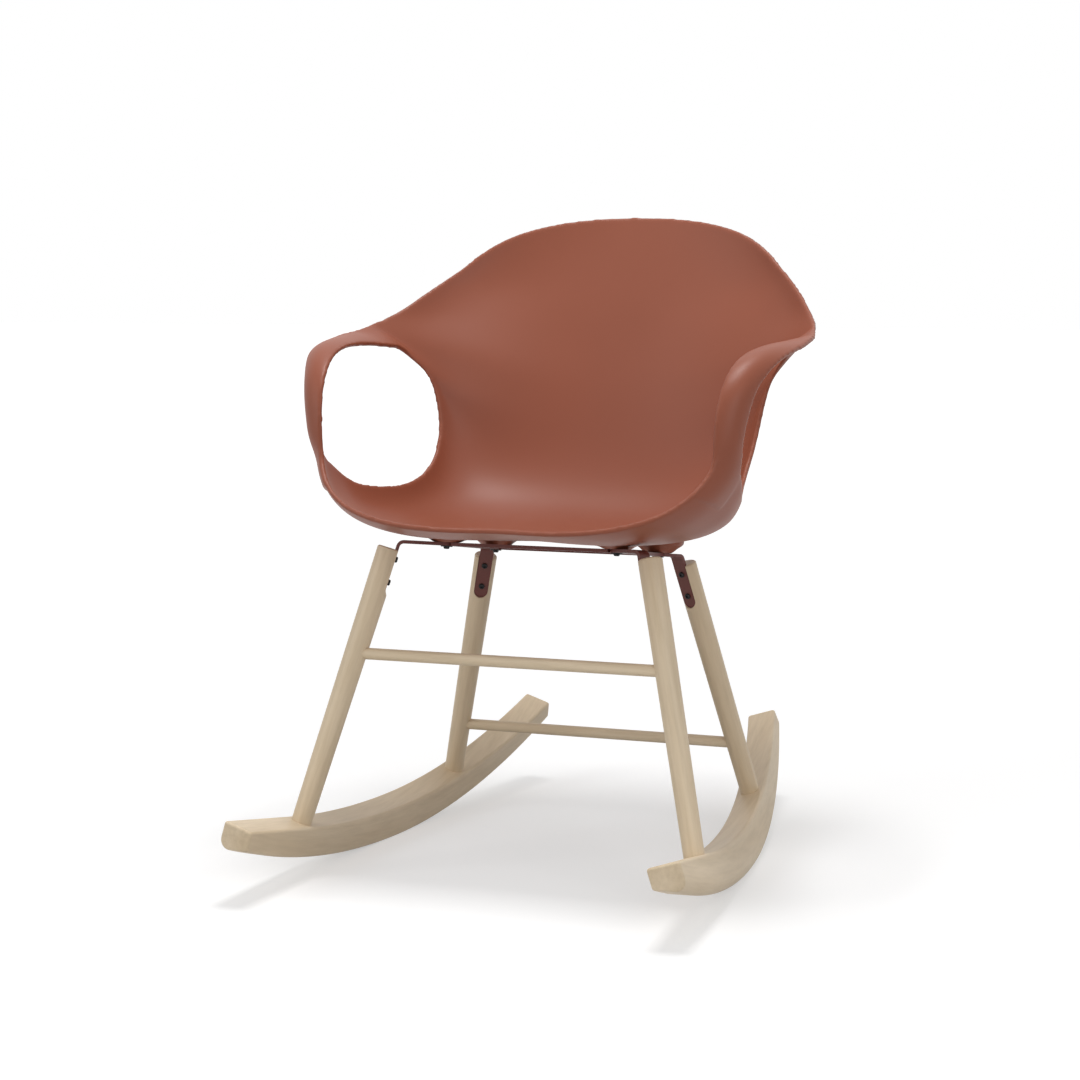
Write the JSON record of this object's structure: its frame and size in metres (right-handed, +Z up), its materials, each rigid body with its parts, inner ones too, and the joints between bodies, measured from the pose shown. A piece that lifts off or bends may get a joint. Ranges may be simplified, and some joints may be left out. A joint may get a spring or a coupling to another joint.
{
  "type": "rocking chair",
  "caption": "Moulded plastic bucket armchair with looped arms on a folded steel frame, tapered wooden legs, stretchers and bent wooden rockers.",
  "frame": {"origin": "middle of the chair at floor level, under the centre of its bounding box", "axes": "+Z up, -Y towards the front of the chair, +X towards the right as seen from the front"},
  "size_m": [0.6, 0.7416, 0.7688],
  "materials": {
    "shell_plastic": "semi-matte terracotta",
    "pale_wood": "clear matte lacquer",
    "frame_paint": "dark red-brown powder coat",
    "black_steel": "black oxide",
    "brass_insert": "machined"
  },
  "bodies": {
    "root": {"seat_shell": "shell_plastic", "front_leg_left": "pale_wood", "front_leg_right": "pale_wood", "rear_leg_left": "pale_wood", "rear_leg_right": "pale_wood", "front_stretcher": "pale_wood", "rear_stretcher": "pale_wood", "rocker_left": "pale_wood", "rocker_right": "pale_wood", "rocker_dowels_left": "pale_wood", "rocker_dowels_right": "pale_wood", "frame_bar_left": "frame_paint", "frame_bar_right": "frame_paint", "frame_cross_bar_front": "frame_paint", "frame_cross_bar_rear": "frame_paint", "tab_screws_front": "black_steel", "tab_screws_rear": "black_steel", "tab_inserts_front": "brass_insert", "tab_inserts_rear": "brass_insert", "seat_screws": "black_steel", "seat_washers": "black_steel", "seat_inserts": "brass_insert"}
  },
  "joints": []
}
